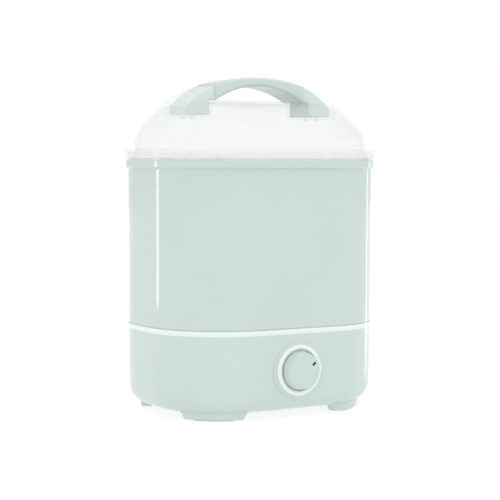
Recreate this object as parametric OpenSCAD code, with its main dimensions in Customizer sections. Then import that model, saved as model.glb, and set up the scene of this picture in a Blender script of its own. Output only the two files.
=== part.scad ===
// Electric bottle steriliser and dryer. Millimetres, origin at the bottom centre of the overall box, front faces -Y.

/* [Body] */
// Width of the chamber and base walls
body_w = 280; // [240:1:320]
// Depth of the chamber and base walls
body_d = 212; // [190:1:240]
// Corner radius of the plan
corner_r = 90; // [70:1:95]
// Thickness of the moulded walls
wall = 2.8; // [2:0.2:3.6]
// How far the rim flanges stand proud of the walls
flange_out = 2.8; // [1:0.2:4]

/* [Heights] */
// Seam between base and chamber
base_top = 101; // [95:1:110]
// Seam between chamber and lid
chamber_top = 288.3; // [260:0.1:320]
// Height of the lid flange
lid_flange_h = 12; // [8:0.5:16]
// Rise of the lid dome above its flange
dome_rise = 56; // [50:0.5:60]
// Rise of the handle arch above the lid flange
arch_rise = 83.2; // [75:0.2:90]

/* [Controls] */
// Height of the knob centre
knob_z = 54.8; // [50:0.1:57]
// Angle of the pointer above the right-hand horizontal, in degrees
pointer_angle = 30; // [-40:1:90]
// Radius of the crest ring of the knob bezel
crest_r = 28.7; // [27:0.1:30]
// Outer radius of the bezel, at the foot of its slope
bezel_r = 32.4; // [31:0.1:35]
// Radius of the knob at its base
knob_r = 21.6; // [19:0.1:23]

/* [Handle] */
// Width of the handle, front to back
handle_w = 45; // [36:1:52]
// Thickness of the arch at its crown
arch_t = 9.6; // [8:0.2:12]
// Inner wall of each handle foot from the centre
foot_in = 65; // [60:1:70]
// Outer wall of each handle foot from the centre
foot_out = 102; // [98:1:108]

/* [Hidden] */
$fn = 64;
eps = 0.1;
corner_x = body_w / 2 - corner_r;
corner_y = body_d / 2 - corner_r;
front = -body_d / 2;
knob_reach = 13.3; // knob face in front of the wall
pointer_at = 14.1; // middle of the pointer bar from the knob axis
pointer_tilt = 14;
rear = body_d / 2;
floor_z = 8; // underside of the base housing
base_fillet = 22; // rounded lower edge of the base
foot_inset = 13.5; // moulded feet behind the outer wall
foot_band = 14;
foot_gap_x = 64; // half of the open stretch between the feet, front and rear
foot_gap_y = 54; // the same at the sides
grip_half = 58; // half length of the finger gap where it meets the lid
housing_top = base_top - 6; // the pale collar fills the last 6 mm
deck_top = housing_top + 1;
deck_t = 3;
plate_r = 70;
plate_floor = 87;
shield_r = 76;
shield_z = 72;
stud_r = 60;
stud_angles = [30, 150, 270];
fan_x = 2;
fan_y = 46;
fan_r = 37.2;
fan_z = 22;
fan_h = 26;
fan_lug_angles = [170, 250, 350];
duct_x = [64, 96];
duct_y = [60, 84];
duct_wall = 2;
filter_x = -7;
filter_z = 46;
filter_size = [78, 4, 30];
gland_x = 42;
gland_z = 42;
boss_angle = 45;
boss_reach = 45;
ledge_z = 106;
rack_z = 108.5;
rack_t = 2.6;
tray_z = 252;
tray_top = 282;
post_x = 42;
bottle_x = 84;
bottle_y = 48;
dome_z = chamber_top + lid_flange_h;
dome_a = 135.7; // half length of the dome at its foot
dome_b = 103.5; // half depth of the dome at its foot
dome_b_rise = 58; // height of the ellipse across the depth
lid_t = 2.4;
pocket_floor = 340;
mint = [0.80, 0.88, 0.84];
pale = [0.90, 0.94, 0.93];
clear = [0.95, 0.96, 0.96, 0.6];
steel = [0.75, 0.76, 0.78];
dark = [0.15, 0.15, 0.16];
white = [0.93, 0.93, 0.92];
rubber = [0.55, 0.57, 0.57];
brass = [0.80, 0.68, 0.38];

// ---------- shared shapes ----------

// The knob reaches further than the rear flange, so the body sits back to centre the whole object.
module placed() {
    translate([0, (knob_reach - flange_out) / 2, 0])
        children();
}

// Puts the children at the four corner centres of the plan.
module at_corners() {
    for (sx = [-1, 1])
        for (sy = [-1, 1])
            translate([sx * corner_x, sy * corner_y, 0])
                children();
}

// Rounded rectangle that stands outside the wall by grow.
module plan(grow) {
    square([2 * corner_x, body_d + 2 * grow], center = true);
    square([body_w + 2 * grow, 2 * corner_y], center = true);
    at_corners()
        circle(r = corner_r + grow, $fn = 128);
}

module prism(z0, z1, grow) {
    translate([0, 0, z0])
        linear_extrude(z1 - z0)
            plan(grow);
}

module ring(z0, z1, outer, inner) {
    difference() {
        prism(z0, z1, outer);
        prism(z0 - eps, z1 + eps, inner);
    }
}

// Half profile with a quarter-round lower edge.
module edge_profile(reach, h, f) {
    translate([0, f])
        square([reach, h - f]);
    square([reach - f, h]);
    translate([reach - f, f])
        circle(r = f, $fn = 96);
}

// Plan prism whose lower edge is rounded all the way round: quarter corners, side slabs and a core.
module soft_block(z0, z1, grow, f) {
    reach = corner_r + grow;
    h = z1 - z0;
    translate([0, 0, z0]) {
        for (q = [0 : 3])
            translate([(q == 0 || q == 3 ? 1 : -1) * corner_x, (q < 2 ? 1 : -1) * corner_y, 0])
                rotate([0, 0, 90 * q])
                    rotate_extrude(angle = 90, $fn = 128)
                        edge_profile(reach, h, f);
        for (q = [0, 2]) {
            rotate([0, 0, 90 * q])
                translate([corner_x, corner_y, 0])
                    rotate([90, 0, 0])
                        linear_extrude(2 * corner_y)
                            edge_profile(reach, h, f);
            rotate([0, 0, 90 * q])
                translate([-corner_x, corner_y, 0])
                    rotate([90, 0, 90])
                        linear_extrude(2 * corner_x)
                            edge_profile(reach, h, f);
        }
        translate([-corner_x, -corner_y, 0])
            cube([2 * corner_x, 2 * corner_y, h]);
    }
}

module tube(z0, z1, outer, inner) {
    translate([0, 0, z0])
        difference() {
            cylinder(h = z1 - z0, r = outer);
            translate([0, 0, -eps])
                cylinder(h = z1 - z0 + 2 * eps, r = inner);
        }
}

module block(x, y, z) {
    translate([x[0], y[0], z[0]])
        cube([x[1] - x[0], y[1] - y[0], z[1] - z[0]]);
}

// Cylinder along -Y that starts at y0 and ends at y1, y1 in front of y0.
module along_y(y0, y1, r) {
    translate([0, y0, 0])
        rotate([90, 0, 0])
            cylinder(h = y0 - y1, r = r);
}

module at_knob() {
    translate([0, 0, knob_z])
        children();
}

// Places where the bottom cover is screwed to the housing.
module at_bosses() {
    for (sx = [-1, 1])
        for (sy = [-1, 1])
            translate([sx * (corner_x + boss_reach * cos(boss_angle)),
                       sy * (corner_y + boss_reach * sin(boss_angle)), 0])
                children();
}

module at_studs() {
    for (a = stud_angles)
        rotate([0, 0, a])
            translate([stud_r, 0, 0])
                children();
}

// Pan-head screw standing on z = 0, head below, shank up.
module screw(head_r, head_h, shank_r, shank_l) {
    difference() {
        translate([0, 0, -head_h])
            cylinder(h = head_h, r = head_r, $fn = 32);
        for (a = [0, 90])
            rotate([0, 0, a])
                translate([-head_r * 0.6, -0.4, -head_h - eps])
                    cube([head_r * 1.2, 0.8, head_h * 0.6]);
    }
    translate([0, 0, -eps])
        cylinder(h = shank_l + eps, r = shank_r, $fn = 32);
}

// ---------- base ----------

// Wedge-sided gap between neighbouring feet, half_gap wide at the floor.
module foot_gap(half_gap, length) {
    rotate([90, 0, 0])
        linear_extrude(length, center = true)
            polygon([[-half_gap, -1], [half_gap, -1], [half_gap - 8, 8], [-half_gap + 8, 8]]);
}

module foot_ring(z0, z1, outer, inner, gap_x, gap_y) {
    difference() {
        ring(z0, z1, outer, inner);
        foot_gap(gap_x, body_d + 20);
        rotate([0, 0, 90])
            foot_gap(gap_y, body_w + 20);
    }
}

module base_housing() color(mint) placed() {
    difference() {
        union() {
            difference() {
                soft_block(floor_z, housing_top, 0, base_fillet);
                soft_block(floor_z + wall, housing_top + eps, -wall, base_fillet - wall);
            }
            foot_ring(1, floor_z, -foot_inset, -foot_inset - foot_band, foot_gap_x, foot_gap_y);
            foot_ring(floor_z - 0.5, floor_z + 2, -foot_inset - 1, -foot_inset - foot_band, foot_gap_x, foot_gap_y);
            at_bosses()
                translate([0, 0, 9.6])
                    cylinder(h = 14, r = 6);
            // pocket that holds the air filter behind the rear wall
            block([filter_x - 41, filter_x + 41], [rear - 9, rear - wall + eps], [filter_z - 17, filter_z + 17]);
        }
        foot_pad_shape(0.02);
        prism(floor_z - eps, 9.6, -34);
        prism(9.5, 11, -40);
        at_bosses()
            translate([0, 0, 9])
                cylinder(h = 12, r = 1.6);
        block([filter_x - 39.4, filter_x + 39.4], [rear - 7, rear + eps], [filter_z - 15.4, filter_z + 15.4]);
        block([filter_x - 36, filter_x + 36], [rear - 9 - eps, rear], [filter_z - 12, filter_z + 12]);
        translate([gland_x, 0, gland_z])
            along_y(rear + 1, rear - 4, 6);
        at_knob() {
            along_y(front + 4, front - 1, 5.2);
            for (s = [-1, 1])
                translate([s * 15, 0, 0])
                    along_y(front + 4, front - 1, 1.8);
        }
    }
}

module foot_pad_shape(gap) {
    foot_ring(-gap, 2 + gap, -foot_inset - 3 + gap, -foot_inset - foot_band + 3 - gap,
              foot_gap_x + 8 - gap, foot_gap_y + 8 - gap);
}

module foot_pads() color(rubber) placed()
    foot_pad_shape(0);

module bottom_cover() color(mint * 0.95) placed() {
    difference() {
        union() {
            prism(floor_z, 9.6, -34.4);
            difference() {
                ring(9.5, 14, -40.4, -42.4);
                at_bosses()
                    cylinder(h = 30, r = 6.5);
            }
            at_fan_lugs()
                tube(9.5, fan_z, 4, 1.3);
        }
        at_bosses()
            translate([0, 0, floor_z - 1])
                cylinder(h = 6, r = 2);
        // cooling slots
        for (i = [-4 : 4])
            translate([i * 9 - 1.5, -52, floor_z - 1])
                cube([3, 44, 4]);
    }
}

module bottom_screws() color(steel) placed()
    at_bosses()
        translate([0, 0, floor_z])
            screw(3.4, 2, 1.55, 11);

module base_deck() color(pale) placed() {
    difference() {
        union() {
            ring(housing_top, base_top, 1, -4.2);
            prism(deck_top - deck_t, deck_top, -wall - 0.4);
        }
        translate([0, 0, deck_top - deck_t - 1])
            cylinder(h = 6, r = plate_r + 1, $fn = 128);
        block([duct_x[0] + duct_wall, duct_x[1] - duct_wall], [duct_y[0] + duct_wall, duct_y[1] - duct_wall],
              [deck_top - 6, deck_top + 2]);
    }
}

// ---------- heater ----------

module heating_plate() color(steel) placed() {
    rotate_extrude($fn = 128)
        polygon([[0, plate_floor], [plate_r - 0.5, plate_floor], [plate_r - 0.5, deck_top + 0.8],
                 [plate_r + 7, deck_top + 0.8], [plate_r + 7, deck_top + 1.8], [plate_r - 1.5, deck_top + 1.8],
                 [plate_r - 1.5, plate_floor + 1], [0, plate_floor + 1]]);
    at_studs()
        translate([0, 0, 66])
            cylinder(h = plate_floor - 66 + eps, r = 1.9, $fn = 32);
}

module plate_seal() color(rubber) placed()
    rotate_extrude($fn = 128)
        polygon([[plate_r - 0.45, deck_top - deck_t], [plate_r + 0.95, deck_top - deck_t],
                 [plate_r + 0.95, deck_top], [plate_r + 8, deck_top], [plate_r + 8, deck_top + 0.8],
                 [plate_r - 0.45, deck_top + 0.8]]);

module plate_nuts() color(steel) placed()
    at_studs()
        translate([0, 0, shield_z - 3.2])
            difference() {
                cylinder(h = 3.2, r = 4, $fn = 6);
                translate([0, 0, -1])
                    cylinder(h = 6, r = 1.95, $fn = 32);
            }

module heating_element() color(steel * 0.9) placed()
    rotate([0, 0, 120])
        rotate_extrude(angle = 300, $fn = 96)
            translate([42, 0]) {
                translate([-5, plate_floor - 5])
                    square([10, 5]);
                translate([0, plate_floor - 5])
                    circle(r = 4, $fn = 32);
            }

module element_terminals() color(brass) placed()
    for (a = [120 + 4, 120 + 296])
        rotate([0, 0, a])
            translate([42, 0, 0]) {
                translate([0, 0, 70])
                    cylinder(h = plate_floor - 9 - 70, r = 2.2, $fn = 32);
                translate([-0.4, -3, 64])
                    cube([0.8, 6, 6.1]);
            }

module heat_shield() color(steel * 0.95) placed()
    difference() {
        rotate_extrude($fn = 128)
            polygon([[0, shield_z], [shield_r, shield_z], [shield_r, deck_top - deck_t - 1],
                     [shield_r + 9, deck_top - deck_t - 1], [shield_r + 9, deck_top - deck_t],
                     [shield_r - 1, deck_top - deck_t], [shield_r - 1, shield_z + 1], [0, shield_z + 1]]);
        at_studs()
            translate([0, 0, shield_z - 1])
                cylinder(h = 4, r = 2.3, $fn = 32);
        for (a = [120 + 4, 120 + 296])
            rotate([0, 0, a])
                translate([42, 0, shield_z - 1])
                    cylinder(h = 4, r = 5, $fn = 32);
    }

module thermostat() color(dark) placed() {
    translate([0, 0, plate_floor - 8])
        cylinder(h = 8, r = 8.5, $fn = 48);
    for (s = [-1, 1])
        translate([-3, s * 10 - 0.4, plate_floor - 12])
            cube([6, 0.8, 6]);
    translate([-3, -10.4, plate_floor - 7])
        cube([6, 20.8, 1]);
}

module sensor_clip() color(steel) placed()
    translate([0, 0, plate_floor]) {
        difference() {
            translate([-20, -4, -9.2])
                cube([40, 8, 9.2]);
            translate([-18.8, -5, -8])
                cube([37.6, 10, 10]);
        }
        for (s = [-1, 1])
            translate([s > 0 ? 18.8 : -25, -4, -1])
                cube([6.2, 8, 1]);
    }

module thermal_fuse() color(white) placed() {
    translate([-8, -24, plate_floor - 2.2])
        rotate([0, 90, 0])
            cylinder(h = 16, r = 2.2, $fn = 32);
    translate([-15, -24, plate_floor - 2.2])
        rotate([0, 90, 0])
            cylinder(h = 30, r = 0.6, $fn = 24);
}

// ---------- drying fan and hot air path ----------

module at_fan() {
    translate([fan_x, fan_y, fan_z])
        children();
}

module at_fan_lugs() {
    for (a = fan_lug_angles)
        translate([fan_x, fan_y, 0])
            rotate([0, 0, a])
                translate([fan_r + 4, 0, 0])
                    children();
}

module fan_housing() color(white) placed()
    difference() {
        union() {
            at_fan()
                cylinder(h = fan_h, r = fan_r, $fn = 96);
            block([fan_x, duct_x[0] - 18], duct_y, [fan_z, fan_z + fan_h]);
            at_fan_lugs()
                translate([0, 0, fan_z])
                    cylinder(h = 3, r = 5);
        }
        translate([0, 0, duct_wall])
            at_fan()
                cylinder(h = fan_h - 2 * duct_wall, r = fan_r - duct_wall, $fn = 96);
        block([fan_x, duct_x[0]], [duct_y[0] + duct_wall, duct_y[1] - duct_wall],
              [fan_z + duct_wall, fan_z + fan_h - duct_wall]);
        translate([0, 0, -1])
            at_fan()
                cylinder(h = 4, r = 20);
        at_fan()
            cylinder(h = fan_h + 2, r = 4);
        at_fan_lugs()
            translate([0, 0, fan_z - 1])
                cylinder(h = 6, r = 1.7, $fn = 32);
    }

module fan_screws() color(steel) placed()
    at_fan_lugs()
        translate([0, 0, fan_z + 3])
            mirror([0, 0, 1])
                screw(2.8, 1.8, 1.25, 11);

module fan_motor() color(steel * 0.8) placed()
    at_fan()
        difference() {
            union() {
                translate([0, 0, fan_h])
                    cylinder(h = 17, r = 15);
                translate([0, 0, fan_h + 17 - eps])
                    cylinder(h = 1 + eps, r = 5);
            }
            translate([0, 0, fan_h - 1])
                cylinder(h = 20, r = 1.55);
        }

module motor_shaft() color(steel) placed()
    at_fan()
        translate([0, 0, 6])
            cylinder(h = fan_h + 11, r = 1.5);

module fan_impeller() color(dark * 2) placed() {
    blades = 24;
    at_fan()
        difference() {
            union() {
                translate([0, 0, 21])
                    cylinder(h = 1.6, r = 32);
                translate([0, 0, 8])
                    cylinder(h = 13.5, r = 5);
                tube(5, 6.6, 32, 25);
                for (i = [0 : blades - 1])
                    rotate([0, 0, i * 360 / blades])
                        translate([26, -0.6, 6])
                            rotate([0, 0, 25])
                                cube([5, 1, 15.5]);
            }
            translate([0, 0, 1])
                cylinder(h = 30, r = 1.52);
        }
}

module air_duct() color(white) placed()
    difference() {
        union() {
            block([duct_x[0] - 18, duct_x[1]], duct_y, [fan_z, fan_z + fan_h]);
            block(duct_x, duct_y, [fan_z, deck_top - deck_t]);
        }
        block([duct_x[0] - 19, duct_x[1] - duct_wall], [duct_y[0] + duct_wall, duct_y[1] - duct_wall],
              [fan_z + duct_wall, fan_z + fan_h - duct_wall]);
        block([duct_x[0] + duct_wall, duct_x[1] - duct_wall], [duct_y[0] + duct_wall, duct_y[1] - duct_wall],
              [fan_z + duct_wall, deck_top]);
    }

// Finned heater block that fills the upright duct.
module air_heater() color(steel * 0.7) placed() {
    fin_gap = 2.4;
    difference() {
        block([duct_x[0] + duct_wall, duct_x[1] - duct_wall], [duct_y[0] + duct_wall, duct_y[1] - duct_wall],
              [60, 74]);
        for (i = [0 : 6])
            for (side = [0, 1])
                block([duct_x[0] + 4 + i * 3.5, duct_x[0] + 4 + i * 3.5 + fin_gap],
                      [duct_y[0] + 3.6 + side * 9.2, duct_y[0] + 11.2 + side * 9.2], [59, 75]);
    }
}

module air_outlet_cap() color(pale) placed()
    difference() {
        block([duct_x[0], duct_x[1] - 2], [duct_y[0], duct_y[1] - 2], [deck_top, deck_top + 8]);
        block([duct_x[0] + duct_wall, duct_x[1] - 4], [duct_y[0] + duct_wall, duct_y[1] - 4],
              [deck_top - 1, deck_top + 6]);
        for (i = [0 : 5])
            block([duct_x[0] + 3.5 + i * 4.2, duct_x[0] + 5.7 + i * 4.2], [duct_y[0] - 1, duct_y[1]],
                  [deck_top + 1.6, deck_top + 5.4]);
        translate([duct_x[1] - 2, duct_y[1] - 2, deck_top - 1])
            rotate([0, 0, 45])
                cube([8, 8, 30], center = true);
    }

// ---------- timer, knob and bezel ----------

// Turns a profile (x = radius, y = distance in front of the wall) about the knob axis.
module knob_turned() {
    translate([0, front, knob_z])
        rotate([90, 0, 0])
            rotate_extrude($fn = 128)
                children();
}

module knob_bezel() color(pale) placed()
    difference() {
        knob_turned()
            polygon([[5.3, 0], [bezel_r, 0], [bezel_r, 0.4], [crest_r, 2.6], [26.6, 4.8], [23.6, 4.8], [22.6, 4],
                     [22.6, 1], [5.3, 1]]);
        at_knob()
            for (s = [-1, 1])
                translate([s * 15, 0, 0])
                    along_y(front + 4, front - 2, 1.8);
    }

module timer_unit() color(white) placed()
    difference() {
        union() {
            at_knob()
                block([-20, 20], [front + wall, front + 30], [-19, 16.5]);
            at_knob()
                along_y(front + wall + 1, front - 1.6, 5);
        }
        at_knob() {
            along_y(front + 24, front - 3, 3.05);
            for (s = [-1, 1])
                translate([s * 15, 0, 0])
                    along_y(front + 14, front, 1.4);
        }
    }

module timer_screws() color(steel) placed()
    at_knob()
        for (s = [-1, 1])
            translate([s * 15, front - 1, 0])
                rotate([-90, 0, 0])
                    screw(3, 1.6, 1.35, 11);

module timer_shaft() color(brass) placed()
    difference() {
        at_knob()
            along_y(front + 23, front - 10.6, 3);
        at_knob()
            block([-4, 4], [front - 11, front - 3.1], [2, 4]);
    }

module knob() color(pale) placed()
    difference() {
        knob_turned()
            difference() {
                polygon([[0, 3.2], [knob_r, 3.2], [knob_r, 5], [20.2, 12.5], [19.4, knob_reach], [0, knob_reach]]);
                translate([6.5, 3])
                    square([12.3, 8]);
            }
        difference() {
            at_knob()
                along_y(front - 2, front - 10.8, 3.02);
            at_knob()
                block([-4, 4], [front - 12, front - 2], [2.02, 4]);
        }
        pointer_shape();
    }

// Short bar let into the knob face, a little askew of its radius.
module pointer_shape()
    at_knob()
        rotate([0, -pointer_angle, 0])
            translate([pointer_at, front - knob_reach, 0])
                rotate([0, -pointer_tilt, 0])
                    translate([-2.1, 0, -1.1])
                        cube([4.2, 0.7, 2.2]);

module knob_pointer() color(dark) placed()
    pointer_shape();

// ---------- rear fittings ----------

module cord_gland() color(dark) placed()
    translate([gland_x, rear, gland_z])
        rotate([90, 0, 0])
            difference() {
                union() {
                    translate([0, 0, -2])
                        cylinder(h = 2, r = 8);
                    translate([0, 0, -eps])
                        cylinder(h = wall + eps, r = 5.9);
                    translate([0, 0, wall])
                        cylinder(h = 2, r = 7);
                }
                translate([0, 0, -3])
                    cylinder(h = 12, r = 3.4);
            }

module filter_cover() color(mint) placed()
    difference() {
        translate([filter_x - 39, rear - 2.6, filter_z - 15])
            cube([78, 2.6, 30]);
        for (i = [-3 : 3])
            translate([filter_x - 33, rear - 4, filter_z + i * 3.6 - 0.9])
                cube([66, 6, 1.8]);
    }

module filter_pad() color(white * 0.8) placed()
    translate([filter_x - filter_size[0] / 2, rear - 6.8, filter_z - filter_size[2] / 2])
        cube(filter_size);

// ---------- chamber ----------

module chamber() color(mint) placed() {
    reveal = 1.2;
    difference() {
        union() {
            prism(base_top + reveal, chamber_top, 0);
            prism(base_top, base_top + reveal + eps, -reveal);
            prism(deck_top + 1.2, base_top + eps, -4.7);
            prism(chamber_top - 9, chamber_top, flange_out);
        }
        prism(deck_top, ledge_z, -7.2);
        prism(ledge_z - eps, ledge_z + 2.5 + eps, -13);
        prism(rack_z, chamber_top + 1, -wall);
        // thin rim above the skirt
        ring(base_top + 2.4, ledge_z, -wall, -8);
    }
}

module chamber_seal() color(rubber) placed()
    ring(deck_top, deck_top + 1.2, -4.9, -7);

module bottle_rack() color(white) placed()
    difference() {
        union() {
            prism(rack_z, rack_z + rack_t, -wall - 1.2);
            for (x = [-bottle_x, 0, bottle_x])
                for (y = [-bottle_y, bottle_y])
                    translate([x, y, 0])
                        tube(rack_z + rack_t - eps, rack_z + 8, 25, 23);
            for (s = [-1, 1])
                translate([s * post_x, 0, 0])
                    tube(rack_z, rack_z + 14, 8.4, 4);
        }
        for (x = [-bottle_x, 0, bottle_x])
            for (y = [-bottle_y, bottle_y])
                translate([x, y, rack_z - 1])
                    for (a = [0 : 60 : 300])
                        rotate([0, 0, a])
                            translate([14, 0, 0])
                                cylinder(h = 8, r = 5, $fn = 32);
        for (x = [-bottle_x, 0, bottle_x])
            translate([x - 12, -4, rack_z - 1])
                cube([24, 8, 8]);
        for (s = [-1, 1])
            translate([s * post_x, 0, rack_z - 1])
                cylinder(h = 30, r = 5.05);
    }

module rack_posts() color(white) placed()
    for (s = [-1, 1])
        translate([s * post_x, 0, 0]) {
            translate([0, 0, rack_z])
                cylinder(h = tray_z - rack_z, r = 5);
            tube(rack_z + 14, rack_z + 17, 8.4, 4.9);
        }

module accessory_tray() color(white) placed()
    difference() {
        union() {
            prism(tray_z, tray_z + 2.2, -7);
            ring(tray_z, tray_top, -7, -9);
            ring(tray_top - 2, tray_top, -6.6, -9.5);
            for (s = [-1, 1])
                translate([s * post_x, 0, 0])
                    tube(tray_z - 9, tray_z + eps, 7.2, 5.2);
        }
        for (i = [-7 : 7])
            for (side = [-1, 1])
                translate([i * 14 - 3, side * 40 - 24, tray_z - 1])
                    cube([6, 48, 5]);
    }

// ---------- lid and handle ----------

// Half length and half depth of the dome at height h above its foot.
function half_x(h) = dome_a * sqrt(1 - pow(h / arch_rise, 2));
function half_y(h) = dome_b * sqrt(1 - pow(h / dome_b_rise, 2));

// One closed loop round the dome, moved in by inset.
function dome_loop(h, z, inset, n) =
    let (a = half_x(h) - inset, b = half_y(h) - inset, r = min(b, 86 - inset))
    [for (q = [0 : 3])
        for (i = [0 : n])
            let (t = 90 * (q + i / n),
                 sx = (q == 0 || q == 3) ? 1 : -1,
                 sy = (q < 2) ? 1 : -1)
            [sx * (a - r) + r * cos(t), sy * (b - r) + r * sin(t), z]];

// Stacked loops closed at the bottom and the top.
module dome(inset, drop, z_shift) {
    n = 12;
    steps = 12;
    loop_n = 4 * (n + 1);
    heights = [for (k = [0 : steps]) dome_rise * sin(90 * k / steps)];
    loops = concat([dome_loop(0, dome_z - drop, inset, n)],
                   [for (h = heights) dome_loop(h, dome_z + h - z_shift * h / dome_rise, inset, n)]);
    points = [for (l = loops) each l];
    sides = [for (k = [0 : steps])
                for (i = [0 : loop_n - 1])
                    let (j = (i + 1) % loop_n, p = k * loop_n, u = p + loop_n)
                    [p + i, u + i, u + j, p + j]];
    bottom = [[for (i = [0 : loop_n - 1]) i]];
    top = [[for (i = [0 : loop_n - 1]) (steps + 1) * loop_n + loop_n - 1 - i]];
    polyhedron(points = points, faces = concat(bottom, sides, top), convexity = 6);
}

module pockets(grow, z0, z1) {
    for (s = [-1, 1])
        translate([s * (foot_in + foot_out) / 2, 0, (z0 + z1) / 2])
            cube([foot_out - foot_in + 2 * grow, handle_w + 2 * grow, z1 - z0], center = true);
}

module lid() color(clear) placed()
    difference() {
        union() {
            prism(chamber_top + 1, dome_z, flange_out);
            prism(chamber_top, chamber_top + 1 + eps, flange_out - 1);
            prism(chamber_top - 5.3, chamber_top + eps, -3.3);
            dome(0, 1, 0);
        }
        difference() {
            union() {
                dome(lid_t, 3, lid_t);
                prism(chamber_top - 6, dome_z - lid_t, -5.5);
            }
            pockets(lid_t + 0.5, pocket_floor - lid_t, 400);
        }
        ring(chamber_top - 1, dome_z - lid_t, 0.4, -3.3);
        pockets(0.5, pocket_floor, 400);
        // steam vents behind the handle
        for (i = [-3 : 3])
            translate([i * 12 - 1.5, 26, dome_z + 40])
                cube([3, 22, 30]);
        at_handle_screws()
            translate([0, 0, pocket_floor - 5])
                cylinder(h = 8, r = 2, $fn = 32);
    }

module lid_seal() color(rubber) placed()
    ring(chamber_top, chamber_top + 2.6, 0.3, -3.2);

module at_handle_screws() {
    for (s = [-1, 1])
        for (y = [-12, 12])
            translate([s * (foot_in + foot_out) / 2, y, 0])
                children();
}

// Side outline of the handle: arch on top, a block foot at each end.
module handle_outline() {
    steps = 48;
    outer = [for (k = [0 : steps])
                let (x = foot_out - 2 * foot_out * k / steps)
                [x, arch_rise * sqrt(1 - pow(x / dome_a, 2))]];
    base = pocket_floor - dome_z;
    crown = arch_rise - arch_t;
    rest = dome_rise + 0.2; // the shoulders lie just above the lid
    inner = [for (k = [0 : steps])
                let (x = -foot_in + 2 * foot_in * k / steps)
                [x, max(rest, crown - (crown - rest) * pow(x / grip_half, 2))]];
    polygon(concat(outer, [[-foot_out, base], [-foot_in, base]], inner, [[foot_in, base], [foot_out, base]]));
}

module handle() color(mint) placed()
    difference() {
        translate([0, 0, dome_z])
            rotate([90, 0, 0])
                linear_extrude(handle_w, center = true)
                    handle_outline();
        at_handle_screws()
            translate([0, 0, pocket_floor - 1])
                cylinder(h = 10, r = 1.6, $fn = 32);
    }

module handle_screws() color(steel) placed()
    at_handle_screws()
        translate([0, 0, pocket_floor - lid_t])
            screw(3.6, 2, 1.55, 10);

base_housing();
base_deck();
bottom_cover();
foot_pads();
bottom_screws();
heating_plate();
plate_seal();
plate_nuts();
heating_element();
element_terminals();
heat_shield();
thermostat();
sensor_clip();
thermal_fuse();
fan_housing();
fan_motor();
fan_screws();
air_duct();
air_heater();
air_outlet_cap();
knob_bezel();
timer_unit();
timer_screws();
cord_gland();
filter_cover();
filter_pad();
knob();
knob_pointer();
timer_shaft();
fan_impeller();
motor_shaft();
chamber();
chamber_seal();
bottle_rack();
rack_posts();
accessory_tray();
lid();
lid_seal();
handle();
handle_screws();
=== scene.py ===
import math

import bmesh
import bpy
from mathutils import Matrix, Vector


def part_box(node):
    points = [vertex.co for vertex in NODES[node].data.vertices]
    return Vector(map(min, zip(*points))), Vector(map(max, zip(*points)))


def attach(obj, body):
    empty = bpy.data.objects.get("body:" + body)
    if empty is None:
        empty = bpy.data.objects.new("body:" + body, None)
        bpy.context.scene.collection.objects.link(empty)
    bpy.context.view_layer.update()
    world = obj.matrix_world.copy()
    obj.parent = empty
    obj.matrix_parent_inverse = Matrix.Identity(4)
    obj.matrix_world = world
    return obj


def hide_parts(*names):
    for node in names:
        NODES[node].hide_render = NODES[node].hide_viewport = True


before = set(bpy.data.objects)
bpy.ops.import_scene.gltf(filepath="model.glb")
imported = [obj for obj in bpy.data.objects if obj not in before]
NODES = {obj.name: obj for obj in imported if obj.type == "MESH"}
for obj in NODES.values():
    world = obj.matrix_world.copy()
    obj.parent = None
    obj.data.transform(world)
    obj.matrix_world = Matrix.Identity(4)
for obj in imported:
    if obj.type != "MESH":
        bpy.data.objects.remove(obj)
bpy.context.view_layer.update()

MM = 0.001

# ---------------------------------------------------------------- sizes in mm, from the frame
house_lo, house_hi = (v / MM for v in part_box("base_housing"))
deck_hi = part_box("base_deck")[1] / MM
cham_lo, cham_hi = (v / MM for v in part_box("chamber"))
lid_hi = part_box("lid")[1] / MM
handle_lo, handle_hi = (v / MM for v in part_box("handle"))
bezel_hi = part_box("knob_bezel")[1] / MM
knob_lo, knob_hi = (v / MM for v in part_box("knob"))

BODY_W = house_hi.x - house_lo.x
CORNER_R = 90.0             # plan corners of the body
FLANGE = (cham_hi.x - cham_lo.x - BODY_W) / 2
BODY_D = cham_hi.y - cham_lo.y - 2 * FLANGE
BODY_Y = (cham_hi.y + cham_lo.y) / 2
HOUSING_TOP = house_hi.z
BASE_TOP = deck_hi.z
CHAMBER_TOP = cham_hi.z
DOME_Z = CHAMBER_TOP + 12.0
LID_TOP = lid_hi.z
FRONT = bezel_hi.y
KNOB_Z = (knob_lo.z + knob_hi.z) / 2
WALL = 2.8

DOME_A, DOME_B = 135.7, 103.5       # half length and half depth of the dome's ellipses
DOME_R = 86.0                       # plan corners of the dome
DOME_LEAN, LEAN_HEIGHT = 2.8, 36.0  # how far the dome leans in at its foot, and where that ends
ARCH_RISE, DOME_B_RISE, DOME_RISE = handle_hi.z - DOME_Z, 58.0, LID_TOP - DOME_Z
LID_WALL = 2.4
POCKET_FLOOR = handle_lo.z
FOOT_OUT = handle_hi.x
INSERT_IN, INSERT_OUT = 66.4, FOOT_OUT - 6.0    # foot of the handle inside its pocket
INSERT_STEP = 1.5                   # how far the foot of the handle is set in from the grip
TOE_DROP = 8.0                      # fall of the foot at its outer end
SLEEVE_IN = 60.0                    # where the grip goes into the lid's clear sleeve
HANDLE_HALF = (handle_hi.y - handle_lo.y) / 2
GRIP_HALF = 58.0
BEZEL_R = 28.7


# ---------------------------------------------------------------- mesh helpers
def new_object(name, verts, faces, material=None, sharp=35.0, weighted=True):
    """Mesh object from points in mm."""
    mesh = bpy.data.meshes.new(name)
    mesh.from_pydata([Vector(v) * MM for v in verts], [], faces)
    mesh.validate()
    obj = bpy.data.objects.new(name, mesh)
    bpy.context.scene.collection.objects.link(obj)
    finish_mesh(obj, material, sharp, weighted)
    return obj


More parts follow.
